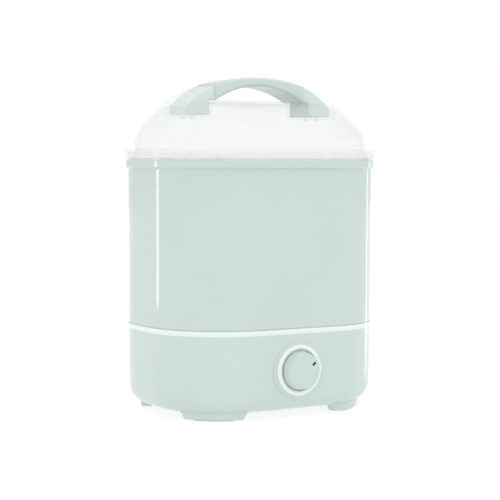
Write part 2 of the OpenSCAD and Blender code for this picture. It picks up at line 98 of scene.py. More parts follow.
def finish_mesh(obj, material=None, sharp=35.0, weighted=True):
    """Smooth shading with sharp edges above an angle, and the one material."""
    for p in obj.data.polygons:
        p.use_smooth = True
    obj.data.set_sharp_from_angle(angle=math.radians(sharp))
    if material:
        obj.data.materials.clear()
        obj.data.materials.append(material)
    if weighted:
        wn = obj.modifiers.new("weighted", "WEIGHTED_NORMAL")
        wn.keep_sharp = True
    return obj


def apply_modifiers(obj):
    """Puts the result of the modifiers into the mesh."""
    bpy.context.view_layer.update()
    graph = bpy.context.evaluated_depsgraph_get()
    mesh = bpy.data.meshes.new_from_object(obj.evaluated_get(graph))
    old = obj.data
    obj.modifiers.clear()
    obj.data = mesh
    mesh.name = obj.name
    bpy.data.meshes.remove(old)


def boolean(obj, tool, operation="DIFFERENCE"):
    """Cuts the tool out of the object, or joins it on, and removes the tool."""
    mod = obj.modifiers.new("cut", "BOOLEAN")
    mod.operation = operation
    mod.solver = "MANIFOLD"
    mod.object = tool
    apply_modifiers(obj)
    bpy.data.objects.remove(tool)


def rounded(points, radii, seg=6, closed=True):
    """The polygon points with each corner rounded by its radius."""
    out = []
    n = len(points)
    for i, p in enumerate(points):
        r = radii[i] if hasattr(radii, "__len__") else radii
        if r <= 0 or (not closed and i in (0, n - 1)):
            out.append(tuple(p))
            continue
        p = Vector(p)
        a, b = Vector(points[i - 1]) - p, Vector(points[(i + 1) % n]) - p
        la, lb = a.length, b.length
        a, b = a / la, b / lb
        half = math.acos(max(-1, min(1, a.dot(b)))) / 2
        if half > math.radians(89):
            out.append(tuple(p))
            continue
        t = min(r / math.tan(half), la * 0.49, lb * 0.49)
        r = t * math.tan(half)
        centre = p + (a + b).normalized() * (r / math.sin(half))
        start, end = p + a * t - centre, p + b * t - centre
        sweep_angle = start.angle(end)
        for k in range(seg + 1):
            f = k / seg
            v = start * math.sin((1 - f) * sweep_angle) + end * math.sin(f * sweep_angle)
            out.append(tuple(centre + v / math.sin(sweep_angle)))
    return out


# The plan outline: for each point, the unit spot of its corner centre and its outward direction.
ARC = 20
STRAIGHT = 4


def plan_spine():
    """Four corner arcs and the straights between them."""
    spine = []
    for q in range(4):
        sx, sy = (1, 1, -1, -1)[q], (1, -1, -1, 1)[q]
        start = (90, 0, -90, -180)[q]
        for k in range(ARC + 1):
            t = math.radians(start - 90 * k / ARC)
            spine.append((sx, sy, math.cos(t), math.sin(t)))
        nx, ny = ((1, -1), (-1, -1), (-1, 1), (1, 1))[q]
        t = math.radians(start - 90)
        for k in range(1, STRAIGHT):
            f = k / STRAIGHT
            spine.append((sx + (nx - sx) * f, sy + (ny - sy) * f, math.cos(t), math.sin(t)))
    return spine


SPINE = plan_spine()


def loop(a, b, r, z):
    """Rounded rectangle of half length a, half depth b and corner radius r at height z."""
    return [(cx * (a - r) + dx * r, BODY_Y + cy * (b - r) + dy * r, z) for cx, cy, dx, dy in SPINE]


def ring(grow, z):
    """The body's plan outline, grown by grow, at height z."""
    return loop(BODY_W / 2 + grow, BODY_D / 2 + grow, CORNER_R + grow, z)


def circle_ring(r, z):
    """Circle about the body's centre, with a point for each point of the plan outline."""
    out = []
    for x, y, _ in ring(0, z):
        d = Vector((x, y - BODY_Y)).normalized()
        out.append((d.x * r, BODY_Y + d.y * r, z))
    return out


def loft(loops, closed=False):
    """Vertices and faces of a surface through loops of one length, each loop closed."""
    n = len(loops[0])
    verts = [p for l in loops for p in l]
    faces = []
    rows = len(loops)
    for k in range(rows if closed else rows - 1):
        a, b = k * n, ((k + 1) % rows) * n
        for i in range(n):
            j = (i + 1) % n
            faces.append((a + i, b + i, b + j, a + j))
    if not closed:
        faces.append(tuple(range(n)))
        faces.append(tuple((rows - 1) * n + i for i in reversed(range(n))))
    return verts, faces


def flip_if_inside_out(obj, caps=False):
    """Turns the faces outward, and with caps first cuts the many-sided ones into triangles."""
    bm = bmesh.new()
    bm.from_mesh(obj.data)
    if caps:
        bmesh.ops.triangulate(bm, faces=[f for f in bm.faces if len(f.verts) > 4], ngon_method="EAR_CLIP")
    bmesh.ops.recalc_face_normals(bm, faces=bm.faces)
    bm.to_mesh(obj.data)
    bm.free()


def swept(name, profile, material=None, **kw):
    """Ring-shaped shell: the closed profile of (grow, z) points carried round the plan."""
    obj = new_object(name, *loft([ring(g, z) for g, z in profile], closed=True), material, **kw)
    flip_if_inside_out(obj)
    return obj


def lathed(name, profile, centre, axis="Z", segments=96, closed=True, material=None, **kw):
    """Solid of revolution of (radius, height) points; a point with radius 0 closes on the axis."""
    verts, faces, index = [], [], []
    for r, h in profile:
        if r < 1e-6:
            index.append([len(verts)] * segments)
            verts.append((0, 0, h))
        else:
            index.append(list(range(len(verts), len(verts) + segments)))
            verts += [(r * math.cos(2 * math.pi * k / segments), r * math.sin(2 * math.pi * k / segments), h)
                      for k in range(segments)]
    rows = len(profile)
    for k in range(rows if closed else rows - 1):
        a, b = index[k], index[(k + 1) % rows]
        for i in range(segments):
            j = (i + 1) % segments
            f = []
            for v in (a[i], b[i], b[j], a[j]):
                if v not in f:
                    f.append(v)
            if len(f) > 2:
                faces.append(tuple(f))
    if axis == "-Y":
        verts = [(x, -z, y) for x, y, z in verts]
    elif axis == "Y":
        verts = [(x, z, -y) for x, y, z in verts]
    cx, cy, cz = centre
    obj = new_object(name, [(x + cx, y + cy, z + cz) for x, y, z in verts], faces, material, **kw)
    flip_if_inside_out(obj)
    return obj


def rounded_box(name, lo, hi, radius, segments=4, material=None):
    """Box from lo to hi with every edge rounded."""
    lo, hi = Vector(lo), Vector(hi)
    verts = [(x, y, z) for x in (lo.x, hi.x) for y in (lo.y, hi.y) for z in (lo.z, hi.z)]
    faces = [(0, 1, 3, 2), (4, 6, 7, 5), (0, 4, 5, 1), (2, 3, 7, 6), (0, 2, 6, 4), (1, 5, 7, 3)]
    obj = new_object(name, verts, faces, material, weighted=False)
    bevel = obj.modifiers.new("bevel", "BEVEL")
    bevel.width = radius * MM
    bevel.segments = segments
    bevel.limit_method = "NONE"
    apply_modifiers(obj)
    flip_if_inside_out(obj)
    finish_mesh(obj, material, weighted=False)
    return obj


def refined(node, material, body, width):
    """A finished copy of a CAD node: flat faces merged, edges rounded, shading weighted."""
    src = NODES[node]
    obj = bpy.data.objects.new(node + "_fine", src.data.copy())
    bpy.context.scene.collection.objects.link(obj)
    bm = bmesh.new()
    bm.from_mesh(obj.data)
    bmesh.ops.remove_doubles(bm, verts=bm.verts, dist=1e-6)
    bmesh.ops.dissolve_limit(bm, angle_limit=math.radians(0.5), verts=bm.verts, edges=bm.edges)
    bm.to_mesh(obj.data)
    bm.free()
    bevel = obj.modifiers.new("bevel", "BEVEL")
    bevel.width = width * MM
    bevel.segments = 2
    bevel.limit_method = "ANGLE"
    bevel.angle_limit = math.radians(35)
    finish_mesh(obj, material)
    place(obj, body, node)


def place(obj, body, node):
    """The piece rides on the body and stands in for the CAD node, which it hides."""
    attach(obj, body)
    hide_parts(node)


# ---------------------------------------------------------------- materials
def srgb(r, g, b):
    """Linear colour of an sRGB colour given from 0 to 255."""
    def lin(c):
        c /= 255.0
        return c / 12.92 if c <= 0.04045 else ((c + 0.055) / 1.055) ** 2.4
    return (lin(r), lin(g), lin(b), 1.0)


def shade_of(colour, factor):
    """The colour made darker or lighter."""
    return (*(min(1.0, c * factor) for c in colour[:3]), 1.0)


def material_base(name):
    m = bpy.data.materials.new(name)
    m.use_nodes = True
    nodes, links = m.node_tree.nodes, m.node_tree.links
    bsdf = nodes["Principled BSDF"]
    coord = nodes.new("ShaderNodeTexCoord")
    return m, nodes, links, bsdf, coord


def noise(nodes, links, coord, scale, detail=3.0, stretch=None):
    n = nodes.new("ShaderNodeTexNoise")
    n.inputs["Scale"].default_value = scale
    n.inputs["Detail"].default_value = detail
    if stretch:
        mapping = nodes.new("ShaderNodeMapping")
        mapping.inputs["Scale"].default_value = stretch
        links.new(coord.outputs["Object"], mapping.inputs["Vector"])
        links.new(mapping.outputs["Vector"], n.inputs["Vector"])
    else:
        links.new(coord.outputs["Object"], n.inputs["Vector"])
    return n


def ramp(nodes, links, source, low, high, start=0.35, end=0.65):
    r = nodes.new("ShaderNodeValToRGB")
    r.color_ramp.elements[0].position = start
    r.color_ramp.elements[0].color = low
    r.color_ramp.elements[1].position = end
    r.color_ramp.elements[1].color = high
    links.new(source.outputs["Fac"], r.inputs["Fac"])
    return r


def map_range(nodes, links, source, low, high):
    r = nodes.new("ShaderNodeMapRange")
    r.inputs["To Min"].default_value = low
    r.inputs["To Max"].default_value = high
    links.new(source.outputs["Fac"], r.inputs["Value"])
    return r


def add_bump(nodes, links, bsdf, source, strength, distance):
    bump = nodes.new("ShaderNodeBump")
    bump.inputs["Strength"].default_value = strength
    bump.inputs["Distance"].default_value = distance
    links.new(source.outputs["Fac"], bump.inputs["Height"])
    links.new(bump.outputs["Normal"], bsdf.inputs["Normal"])
    return bump


def plastic(name, colour, rough=0.22, vary=0.03, peel=0.06, subsurface=0.0):
    """Moulded plastic: slight cloudiness, uneven gloss, and a fine surface ripple."""
    m, nodes, links, bsdf, coord = material_base(name)
    cloud = noise(nodes, links, coord, 9.0, 2.0)
    tint = ramp(nodes, links, cloud, shade_of(colour, 1 - vary), shade_of(colour, 1 + vary))
    links.new(tint.outputs["Color"], bsdf.inputs["Base Color"])
    patch = noise(nodes, links, coord, 40.0, 4.0)
    gloss = map_range(nodes, links, patch, rough * 0.88, rough * 1.12)
    links.new(gloss.outputs["Result"], bsdf.inputs["Roughness"])
    fine = noise(nodes, links, coord, 900.0, 2.0)
    add_bump(nodes, links, bsdf, fine, peel, 0.0002)
    bsdf.inputs["Subsurface Weight"].default_value = subsurface
    bsdf.inputs["Subsurface Radius"].default_value = (0.004, 0.004, 0.004)
    return m


def paint_haze_light(material, colour, edge):
    """Paints a second, lighter colour on a plastic further than edge from the middle, left and right: painted
    light for the glow of the clear lid's haze over the handle's feet, which also lifts the shade they get
    inside their pockets.
    """
    nodes, links = material.node_tree.nodes, material.node_tree.links
    bsdf = nodes["Principled BSDF"]
    first = bsdf.inputs["Base Color"].links[0].from_socket
    coord = nodes.new("ShaderNodeTexCoord")
    split = nodes.new("ShaderNodeSeparateXYZ")
    links.new(coord.outputs["Object"], split.inputs["Vector"])
    away = nodes.new("ShaderNodeMath")
    away.operation = "ABSOLUTE"
    links.new(split.outputs["X"], away.inputs[0])
    step = nodes.new("ShaderNodeMapRange")
    step.inputs["From Min"].default_value = edge - 0.0002
    step.inputs["From Max"].default_value = edge + 0.0002
    links.new(away.outputs["Value"], step.inputs["Value"])
    mix = nodes.new("ShaderNodeMix")
    mix.data_type = "RGBA"
    links.new(step.outputs["Result"], mix.inputs["Factor"])
    links.new(first, mix.inputs["A"])
    mix.inputs["B"].default_value = colour
    links.new(mix.outputs["Result"], bsdf.inputs["Base Color"])
    return material


def brushed(name, colour, rough=0.32, stretch=(1.0, 60.0, 1.0)):
    """Metal with drawn or turned hairlines."""
    m, nodes, links, bsdf, coord = material_base(name)
    hair = noise(nodes, links, coord, 60.0, 6.0, stretch)
    tint = ramp(nodes, links, hair, shade_of(colour, 0.9), shade_of(colour, 1.08))
    links.new(tint.outputs["Color"], bsdf.inputs["Base Color"])
    gloss = map_range(nodes, links, hair, rough * 0.8, rough * 1.25)
    links.new(gloss.outputs["Result"], bsdf.inputs["Roughness"])
    add_bump(nodes, links, bsdf, hair, 0.05, 0.0002)
    bsdf.inputs["Metallic"].default_value = 1.0
    return m


def turned_plate(name, colour):
    """Stainless plate with circular turning marks about the body's centre."""
    m, nodes, links, bsdf, coord = material_base(name)
    place_map = nodes.new("ShaderNodeMapping")
    place_map.inputs["Location"].default_value = (0, -BODY_Y * MM, 0)
    links.new(coord.outputs["Object"], place_map.inputs["Vector"])
    wave = nodes.new("ShaderNodeTexWave")
    wave.wave_type = "RINGS"
    wave.rings_direction = "Z"
    wave.inputs["Scale"].default_value = 160.0
    wave.inputs["Distortion"].default_value = 1.5
    wave.inputs["Detail"].default_value = 3.0
    links.new(place_map.outputs["Vector"], wave.inputs["Vector"])
    tint = ramp(nodes, links, wave, shade_of(colour, 0.9), shade_of(colour, 1.1), 0.1, 0.9)
    links.new(tint.outputs["Color"], bsdf.inputs["Base Color"])
    gloss = map_range(nodes, links, wave, 0.22, 0.34)
    links.new(gloss.outputs["Result"], bsdf.inputs["Roughness"])
    add_bump(nodes, links, bsdf, wave, 0.06, 0.0002)
    bsdf.inputs["Metallic"].default_value = 1.0
    return m


def milky_clear(name, colour, veil, rough=0.07, rim_veil=None):
    """Clear moulded plastic, too thin to bend the view; rim_veil is its milkiness below the dome."""
    m, nodes, links, bsdf, coord = material_base(name)
    cloud = noise(nodes, links, coord, 7.0, 2.0)
    tint = ramp(nodes, links, cloud, shade_of(colour, 0.995), shade_of(colour, 1.0))
    links.new(tint.outputs["Color"], bsdf.inputs["Base Color"])
    patch = noise(nodes, links, coord, 45.0, 3.0)
    haze = map_range(nodes, links, patch, 0.5, 0.6)
    links.new(haze.outputs["Result"], bsdf.inputs["Roughness"])
    fine = noise(nodes, links, coord, 300.0, 2.0)
    bump = add_bump(nodes, links, bsdf, fine, 0.02, 0.0002)
    see = nodes.new("ShaderNodeBsdfTransparent")
    see.inputs["Color"].default_value = (0.998, 0.999, 0.999, 1.0)
    body = nodes.new("ShaderNodeMixShader")
    height = nodes.new("ShaderNodeSeparateXYZ")
    links.new(coord.outputs["Object"], height.inputs["Vector"])
    amount = nodes.new("ShaderNodeMapRange")
    amount.inputs["From Min"].default_value = DOME_Z * MM
    amount.inputs["From Max"].default_value = (DOME_Z + 2.0) * MM
    amount.inputs["To Min"].default_value = rim_veil or veil
    amount.inputs["To Max"].default_value = veil
    links.new(height.outputs["Z"], amount.inputs["Value"])
    links.new(amount.outputs["Result"], body.inputs["Fac"])
    links.new(see.outputs["BSDF"], body.inputs[1])
    glow = nodes.new("ShaderNodeBsdfTranslucent")
    links.new(tint.outputs["Color"], glow.inputs["Color"])
    milk = nodes.new("ShaderNodeMixShader")
    milk.inputs["Fac"].default_value = 0.6
    links.new(bsdf.outputs["BSDF"], milk.inputs[1])
    links.new(glow.outputs["BSDF"], milk.inputs[2])
    links.new(milk.outputs["Shader"], body.inputs[2])
    gloss = nodes.new("ShaderNodeBsdfGlossy")
    gloss.inputs["Roughness"].default_value = rough
    links.new(bump.outputs["Normal"], gloss.inputs["Normal"])
    facing = nodes.new("ShaderNodeLayerWeight")
    facing.inputs["Blend"].default_value = 0.5
    power = nodes.new("ShaderNodeMath")
    power.operation = "POWER"
    power.inputs[1].default_value = 4.0
    links.new(facing.outputs["Facing"], power.inputs[0])
    sheen = nodes.new("ShaderNodeMapRange")
    sheen.inputs["To Min"].default_value = 0.02
    sheen.inputs["To Max"].default_value = 0.2
    links.new(power.outputs["Value"], sheen.inputs["Value"])
    mix = nodes.new("ShaderNodeMixShader")
    links.new(sheen.outputs["Result"], mix.inputs["Fac"])
    links.new(body.outputs["Shader"], mix.inputs[1])
    links.new(gloss.outputs["BSDF"], mix.inputs[2])
    links.new(mix.outputs["Shader"], nodes["Material Output"].inputs["Surface"])
    return m


def felt(name, colour):
    """Matted fibres of an air filter pad."""
    m, nodes, links, bsdf, coord = material_base(name)
    fibre = noise(nodes, links, coord, 600.0, 8.0, (1.0, 1.0, 0.4))
    tint = ramp(nodes, links, fibre, shade_of(colour, 0.8), shade_of(colour, 1.1))
    links.new(tint.outputs["Color"], bsdf.inputs["Base Color"])
    bsdf.inputs["Roughness"].default_value = 0.95
    bsdf.inputs["Sheen Weight"].default_value = 0.4
    add_bump(nodes, links, bsdf, fibre, 0.5, 0.0006)
    return m


MINT = plastic("mint_gloss_plastic", srgb(208, 223, 218), rough=0.16, vary=0.012, peel=0.04)
MINT_CHAMBER = plastic("mint_chamber_plastic", srgb(205, 221, 213), rough=0.11, vary=0.012, peel=0.03)
MINT_HANDLE = plastic("mint_handle_plastic", srgb(209, 223, 218), rough=0.26, vary=0.015, peel=0.08)
# the handle's feet beyond the sleeve are painted lighter: painted light for the lid's haze over them and
# against the shade inside their pockets
paint_haze_light(MINT_HANDLE, srgb(226, 240, 237), SLEEVE_IN * MM)
PALE = plastic("pale_gloss_plastic", srgb(240, 248, 245), rough=0.22, vary=0.01, peel=0.05)
KNOB_PALE = plastic("knob_plastic", srgb(207, 222, 217), rough=0.2, vary=0.015, peel=0.10)
BEZEL_PALE = plastic("bezel_plastic", srgb(241, 250, 248), rough=0.20, vary=0.01, peel=0.05)
CLEAR = milky_clear("milky_clear_plastic", srgb(253, 254, 254), veil=0.065, rim_veil=0.11)
WHITE = plastic("white_pp", srgb(236, 237, 235), rough=0.38, vary=0.015, peel=0.12)
DARK = plastic("black_plastic", srgb(24, 26, 26), rough=0.42, vary=0.08, peel=0.15)
CLEAR_SILICONE = milky_clear("clear_silicone", srgb(238, 244, 241), veil=0.2, rough=0.3)
SILICONE = plastic("grey_silicone", srgb(176, 182, 180), rough=0.55, vary=0.03, peel=0.2, subsurface=0.2)
FOOT_RUBBER = plastic("foot_rubber", srgb(198, 210, 206), rough=0.7, vary=0.05, peel=0.3)
STAINLESS = turned_plate("stainless_plate", srgb(205, 206, 208))
ZINC = brushed("zinc_steel", srgb(190, 192, 194), 0.35)
ALUMINIUM = brushed("extruded_aluminium", srgb(200, 202, 204), 0.4, (30.0, 1.0, 1.0))
BRASS = brushed("brass", srgb(205, 172, 98), 0.3)
FELT = felt("filter_felt", srgb(222, 223, 220))

# ---------------------------------------------------------------- base housing
FILLET = 22.0
FLOOR_Z = house_lo.z + 7.0      # underside, above the ends of the feet
DRAFT = 0.9                     # how far the wall leans in towards the bottom


def arc_profile(cx, cz, r, start, end, steps):
    """Arc of (grow, z) points about (cx, cz); angles in degrees, 0 outward, -90 down."""
    return [(cx + r * math.cos(math.radians(start + (end - start) * k / steps)),
             cz + r * math.sin(math.radians(start + (end - start) * k / steps))) for k in range(steps + 1)]


def housing_profile():
    """The wall, the rounded lower edge, the underside and the inner side."""
    outer = [(-0.12, HOUSING_TOP - 0.02), (0.0, HOUSING_TOP - 0.25)]
    outer += [(-DRAFT * 0.35, 62.0), (-DRAFT, FLOOR_Z + FILLET + 6)]
    outer += arc_profile(-DRAFT - FILLET, FLOOR_Z + FILLET, FILLET, -8, -90, 14)
    outer += [(-34.0, FLOOR_Z), (-34.0, 9.6), (-40.0, 9.6), (-40.0, 10.8)]
    inner = arc_profile(-22.0, FLOOR_Z + FILLET, FILLET - WALL, -90, 0, 8)
    return outer + inner + [(-WALL, HOUSING_TOP - 0.05)]


housing = swept("housing_shell", housing_profile(), MINT, sharp=40)

# the rear filter pocket, the timer hole and the gland hole
filter_lo, filter_hi = (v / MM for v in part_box("filter_cover"))
gland_lo, gland_hi = (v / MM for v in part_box("cord_gland"))
gland_x, gland_z = (gland_lo.x + gland_hi.x) / 2, (gland_lo.z + gland_hi.z) / 2
REAR = house_hi.y
pocket = rounded_box("pocket_walls", (filter_lo.x - 2, REAR - 9, filter_lo.z - 2),
                     (filter_hi.x + 2, REAR - 1.4, filter_hi.z + 2), 0.4, 2)
boolean(housing, pocket, "UNION")
boolean(housing, rounded_box("pocket_cut", (filter_lo.x - 0.4, REAR - 7, filter_lo.z - 0.4),
                             (filter_hi.x + 0.4, REAR + 4, filter_hi.z + 0.4), 0.8, 3))
boolean(housing, rounded_box("air_cut", (filter_lo.x + 3, REAR - 12, filter_lo.z + 3),
                             (filter_hi.x - 3, REAR - 5, filter_hi.z - 3), 0.8, 3))


def drill(target, x, y0, y1, z, r, segments=48):
    """Round hole along Y, of radius r."""
    outline = [(0, y0), (r, y0), (r, y1), (0, y1)]
    boolean(target, lathed("drill", outline, (x, 0, z), "Y", segments, closed=False, weighted=False))


# sloping ring on the front, round the bezel
BOSS_R, BOSS_IN = 32.4, BEZEL_R + 0.06
boss_profile = rounded([(BOSS_IN, -2.4), (BOSS_R, -2.4), (BOSS_R, 0.12), (30.6, 0.9), (BOSS_IN, 2.6)],
                       [0, 0, 0.1, 2.5, 0.25], 6)
boolean(housing, lathed("boss_ring", boss_profile, (0.0, FRONT, KNOB_Z), "-Y", 128, weighted=False), "UNION")
drill(housing, gland_x, REAR - 6, REAR + 3, gland_z, 6.0)
drill(housing, 0, FRONT - 3, FRONT + 6, KNOB_Z, 5.2)


FOOT_GAP_X, FOOT_GAP_Y = 56.0, 46.0     # half the open stretch between the feet, at the underside
FOOT_SLOPE = 4.6                        # length of a foot's sloping end
FOOT_LINE = CORNER_R - 20.0             # radius along which a foot is measured
FOOT_TOP, FOOT_END = FLOOR_Z + 1.4, 1.0


def foot(name, sx, sy):
    """One moulded corner foot: a band that follows the corner, with eased ends and edges."""
    ref = FOOT_LINE
    arc_len = ref * math.pi / 2
    corner_x, corner_y = BODY_W / 2 - CORNER_R, BODY_D / 2 - CORNER_R
    u0 = math.asin((FOOT_GAP_X - corner_x) / ref) * ref
    u1 = arc_len - math.asin((FOOT_GAP_Y - corner_y) / ref) * ref
    steps = 72
    verts = []
    for i in range(steps + 1):
        u = u0 + (u1 - u0) * i / steps
        dx, dy = math.sin(u / ref), math.cos(u / ref)
        f = max(0.0, min(1.0, min(u - u0, u1 - u) / FOOT_SLOPE))
        ease = f * f * (3 - 2 * f)
        drop = 0.3 * f + 0.7 * ease
        low = FOOT_TOP - (FOOT_TOP - FOOT_END) * drop
        top = FLOOR_Z + 2.3
        cross = rounded([(-13.6, top), (-14.0, low), (-27.0, low), (-27.4, top)],
                        [0, min(2.6, (top - low) * 0.45), min(1.5, (top - low) * 0.3), 0], 6)
        for g, z in cross:
            rr = CORNER_R + g
            verts.append((sx * (corner_x + dx * rr), BODY_Y + sy * (corner_y + dy * rr), z))
    n = len(cross)
    faces = []
    for i in range(steps):
        for k in range(n):
            j = (k + 1) % n
            faces.append((i * n + k, (i + 1) * n + k, (i + 1) * n + j, i * n + j))
    faces.append(tuple(range(n)))
    faces.append(tuple(steps * n + k for k in reversed(range(n))))
    obj = new_object(name, verts, faces, MINT, weighted=False)
    flip_if_inside_out(obj)
    return obj


for sx, sy in ((1, 1), (1, -1), (-1, 1), (-1, -1)):
    boolean(housing, foot("foot", sx, sy), "UNION")
flip_if_inside_out(housing)
finish_mesh(housing, MINT, sharp=40)
place(housing, "base", "base_housing")

# ---------------------------------------------------------------- deck with its pale collar
DECK_Z, DECK_LOW = 96.0, 93.0
deck_profile = rounded([(0.15, HOUSING_TOP), (1.0, HOUSING_TOP + 2.6), (1.0, BASE_TOP), (-4.2, BASE_TOP),
                        (-4.2, DECK_Z)], [0.1, 3.0, 1.3, 0.8, 0.4], 5)
HOLE_R = 71.0
deck_loops = [ring(g, z) for g, z in deck_profile]
deck_loops += [ring(-30.0, DECK_Z), circle_ring(HOLE_R + 0.5, DECK_Z), circle_ring(HOLE_R, DECK_Z - 0.5)]
deck_loops += [circle_ring(HOLE_R, DECK_LOW), ring(-3.2, DECK_LOW), ring(-3.2, HOUSING_TOP + 0.02)]
deck = new_object("deck_collar", *loft(deck_loops, closed=True), PALE)
flip_if_inside_out(deck)
cap_lo, cap_hi = (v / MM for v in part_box("air_outlet_cap"))
boolean(deck, rounded_box("duct_cut", (cap_lo.x + 2, cap_lo.y + 2, 90), (cap_hi.x, cap_hi.y, 99), 1.0, 3))
finish_mesh(deck, PALE)
place(deck, "base", "base_deck")

# ---------------------------------------------------------------- chamber
REVEAL = 0.9        # shadow gap over the collar
chamber_points = [
    (-REVEAL, BASE_TOP), (-REVEAL, BASE_TOP + REVEAL), (-0.15, BASE_TOP + REVEAL),
    (0.0, CHAMBER_TOP - 9.6), (FLANGE, CHAMBER_TOP - 8.6), (FLANGE, CHAMBER_TOP), (-WALL, CHAMBER_TOP),
    (-WALL, 108.5), (-13.0, 108.5), (-13.0, 106.0), (-WALL, 106.0), (-WALL, 103.4),
    (-7.2, 103.4), (-7.2, 97.2), (-4.7, 97.2), (-4.7, BASE_TOP),
]
chamber_radii = [0.2, 0, 0.7, 1.6, 2.0, 0.9, 0.6, 1.0, 0.5, 0.5, 0.5, 0.5, 0.3, 0.5, 0.5, 0.2]
chamber = swept("chamber_shell", rounded(chamber_points, chamber_radii, 5), MINT_CHAMBER)
place(chamber, "chamber", "chamber")


# ---------------------------------------------------------------- lid
def lean(h):
    """How far the dome leans in near its foot."""
    return DOME_LEAN * max(0.0, 1 - h / LEAN_HEIGHT) ** 1.5


def half_x(h):
    """Half length of the dome at height h over its foot."""
    return DOME_A * math.sqrt(max(0.0, 1 - (h / ARCH_RISE) ** 2)) - lean(h)


def half_y(h):
    """Half depth of the dome at height h over its foot."""
    return DOME_B * math.sqrt(max(0.0, 1 - (h / DOME_B_RISE) ** 2)) - lean(h)


def dome_loops(inset, rise, round_top, steps=30):
    """Loops from the foot of the dome to its flat top, the top edge eased by round_top."""
    out = []
    for k in range(steps + 1):
        h = rise * math.sin(math.pi / 2 * k / steps)
        a, b = half_x(h + inset * h / rise) - inset, half_y(h + inset * h / rise) - inset
        near = max(0.0, (h - (rise - round_top)) / round_top)
        ease = round_top * (1 - math.sqrt(max(0.0, 1 - near * near)))
        a -= ease
        b -= ease * 0.6
        r = min(b, DOME_R - inset)
        out.append(loop(a, b, r, DOME_Z + h))
    for d in (b * 0.3, b * 0.6, b * 0.97):
        out.append(loop(a - d, b - d, b - d, DOME_Z + rise))
    return out


SKIRT_LOW = CHAMBER_TOP - 5.3
RIM_TOP = DOME_Z - LID_WALL
COVE = 2.2
rim_points = [(-5.0, SKIRT_LOW), (-3.3, SKIRT_LOW), (-3.3, RIM_TOP), (0.4, RIM_TOP), (0.4, CHAMBER_TOP),
              (FLANGE - 0.5, CHAMBER_TOP), (FLANGE - 0.5, CHAMBER_TOP + 0.35), (FLANGE, CHAMBER_TOP + 0.35),
              (FLANGE, DOME_Z), (-1.4, DOME_Z)]
rim_radii = [0, 0.5, 0.4, 0.4, 0.2, 0.1, 0.1, 0.35, 1.8, 0]
outer_loops = [ring(*p) for p in rounded(rim_points, rim_radii, 5, closed=False)]
for k in range(1, 6):
    t = math.radians(90 * k / 6)
    out = COVE * (1 - math.sin(t))
    cove_z = DOME_Z + COVE * (1 - math.cos(t))
    outer_loops.append(loop(half_x(0.0) + out, half_y(0.0) + out, DOME_R + out, cove_z))
outer_loops += [l for l in dome_loops(0.0, DOME_RISE, 5.0) if l[0][2] > DOME_Z + COVE]
lid = new_object("lid_dome", *loft(outer_loops), CLEAR, weighted=False)
flip_if_inside_out(lid)


def arch(x, drop=0.0):
    """Height of the handle's outer curve at x."""
    return DOME_Z + ARCH_RISE * math.sqrt(1 - (x / DOME_A) ** 2) - drop


def toe(x):
    """How far the foot of the handle falls below the arch towards its outer end."""
    return TOE_DROP * max(0.0, (x - SLEEVE_IN) / (INSERT_OUT - SLEEVE_IN)) ** 2


def rounded_slab(name, outline, y0, y1, radius, material, steps=6):
    """A closed outline in X and Z made into a slab along Y with its long edges rounded."""
    pts = [Vector(p) for p in outline]
    n = len(pts)
    turn_sign = 1 if sum(pts[i].cross(pts[(i + 1) % n]) for i in range(n)) > 0 else -1
    offsets = []
    for i in range(n):
        a = (pts[i] - pts[i - 1]).normalized()
        b = (pts[(i + 1) % n] - pts[i]).normalized()
        na, nb = Vector((a.y, -a.x)) * turn_sign, Vector((b.y, -b.x)) * turn_sign
        offsets.append((na + nb) / max(0.4, 1 + na.dot(nb)))
    rows = []
    for side in (0, 1):
        for k in (range(steps + 1) if side == 0 else reversed(range(steps + 1))):
            a = k / steps * math.pi / 2
            inset, depth = radius * (1 - math.sin(a)), radius * (1 - math.cos(a))
            y = y1 - depth if side else y0 + depth
            rows.append([(p.x - q.x * inset, y, p.y - q.y * inset) for p, q in zip(pts, offsets)])
    obj = new_object(name, *loft(rows), material)
    flip_if_inside_out(obj, caps=True)
    return obj


def arch_block(name, side, x0, x1, low, drop, narrow, radius, material=None, foot=None):
    """Slab under the handle's curve from x0 to x1, mirrored by side.

    With foot=(x, z) the part beyond x goes down to z, and its top falls away as toe() says.
    """
    xs = [x0 + (x1 - x0) * k / 24 for k in range(25)]
    outline = [(x, arch(x, drop) - (toe(x) if foot else 0.0)) for x in xs]
    outline.append((x1, foot[1] if foot else low))
    outline += [(foot[0], foot[1]), (foot[0], low)] if foot else []
    outline.append((x0, low))
    outline = [(side * x, z) for x, z in outline]
    half = HANDLE_HALF - narrow
    return rounded_slab(name, outline, BODY_Y - half, BODY_Y + half, radius, material)


# hollow of the lid, with material left round the handle pockets
hollow = new_object("hollow", *loft([ring(-5.5, SKIRT_LOW - 3), ring(-5.5, RIM_TOP)]
                                    + dome_loops(LID_WALL, DOME_RISE - LID_WALL, 4.0)), weighted=False)
flip_if_inside_out(hollow)
for side in (-1, 1):
    x0, x1 = sorted((side * (INSERT_IN - LID_WALL), side * (FOOT_OUT + 1.0)))
    boolean(hollow, rounded_box("pocket_keep", (x0, BODY_Y - HANDLE_HALF - 0.8, POCKET_FLOOR - LID_WALL),
                                (x1, BODY_Y + HANDLE_HALF + 0.8, LID_TOP + 20), 1.5, 4))
boolean(lid, hollow)
for side in (-1, 1):
    boolean(lid, arch_block("sleeve", side, SLEEVE_IN, FOOT_OUT, LID_TOP - 5.0, 0.0, 0.0, 1.8), "UNION")
    boolean(lid, arch_block("pocket_void", side, SLEEVE_IN - 2.0, INSERT_OUT + 0.2, LID_TOP - 0.2,
                            INSERT_STEP - 0.2, INSERT_STEP - 0.2, 1.6, foot=(INSERT_IN - 0.2, POCKET_FLOOR)))
